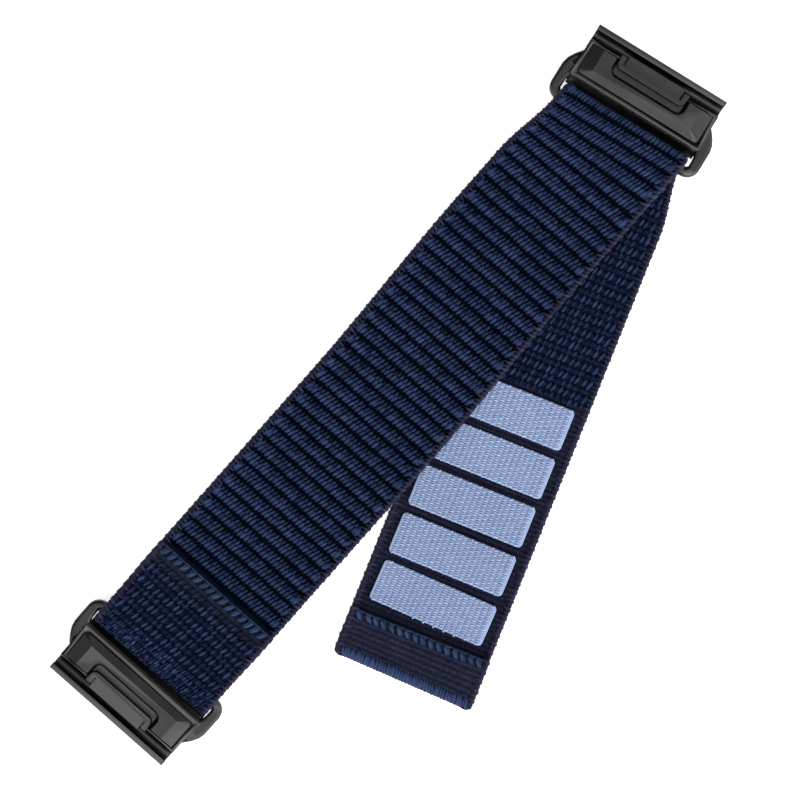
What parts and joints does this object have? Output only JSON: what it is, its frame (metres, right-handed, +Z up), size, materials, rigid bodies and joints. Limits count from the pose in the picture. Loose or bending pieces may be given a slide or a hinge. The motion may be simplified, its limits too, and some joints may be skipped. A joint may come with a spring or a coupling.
{
  "type": "wearable tracker wrist band",
  "caption": "Woven hook-and-loop wrist band with a dark metal quick-release lug adapter at each end, laid open with its tail folded back.",
  "frame": {"origin": "under the middle of the band's box, on the surface it lies on", "axes": "+X along the main strap from the fixed adapter to the loop adapter, +Y across it away from the tail, +Z up with the skin side up"},
  "size_m": [0.1284, 0.0528, 0.005],
  "materials": {
    "navy_webbing": "woven nylon, matt, ribbed on the skin face and looped on the outer face",
    "teal_thread": "twisted thread, slight sheen",
    "blue_hooks": "moulded nylon micro-hooks in a staggered lattice",
    "dark_metal": "gun-metal coated steel, satin",
    "spring_steel": "bright drawn wire"
  },
  "bodies": {
    "strap": {"main_webbing": "navy_webbing", "sewn_end_flap": "navy_webbing", "sewn_end_thread": "teal_thread"},
    "tail": {"tail_webbing": "navy_webbing", "tail_hem": "navy_webbing", "tail_hem_thread": "teal_thread", "hook_pad_1": "blue_hooks", "hook_pad_2": "blue_hooks", "hook_pad_3": "blue_hooks", "hook_pad_4": "blue_hooks", "hook_pad_5": "blue_hooks"},
    "fixed_adapter": {"fixed_frame": "dark_metal", "fixed_latch_cover": "dark_metal", "fixed_latch_spring_1": "spring_steel", "fixed_latch_spring_2": "spring_steel"},
    "fixed_latch": {"fixed_latch": "dark_metal"},
    "loop_adapter": {"loop_frame": "dark_metal", "loop_latch_cover": "dark_metal", "loop_latch_spring_1": "spring_steel", "loop_latch_spring_2": "spring_steel"},
    "loop_latch": {"loop_latch": "dark_metal"}
  },
  "joints": [
    {"name": "tail_fold", "type": "hinge", "parent": "strap", "child": "tail", "pos_m": [0.04998, 0.01299, 0], "axis": [0.1702, -0.9854, 0], "range_deg": [0, 150]},
    {"name": "fixed_adapter_swivel", "type": "hinge", "parent": "strap", "child": "fixed_adapter", "pos_m": [-0.05232, 0.01311, 0.0025], "axis": [0, 1, 0], "range_deg": [-75, 75]},
    {"name": "loop_adapter_swivel", "type": "hinge", "parent": "strap", "child": "loop_adapter", "pos_m": [0.05063, 0.01311, 0.0025], "axis": [0.1702, -0.9854, 0], "range_deg": [-75, 75]},
    {"name": "fixed_latch_slide", "type": "slide", "parent": "fixed_adapter", "child": "fixed_latch", "axis": [1, 0, 0], "range_m": [0, 0.00085], "stiffness_N_per_m": 300, "springref_m": -0.001, "deforming": ["fixed_latch_spring_1", "fixed_latch_spring_2"]},
    {"name": "loop_latch_slide", "type": "slide", "parent": "loop_adapter", "child": "loop_latch", "axis": [-0.9854, -0.1702, 0], "range_m": [0, 0.00085], "stiffness_N_per_m": 300, "springref_m": -0.001, "deforming": ["loop_latch_spring_1", "loop_latch_spring_2"]}
  ]
}
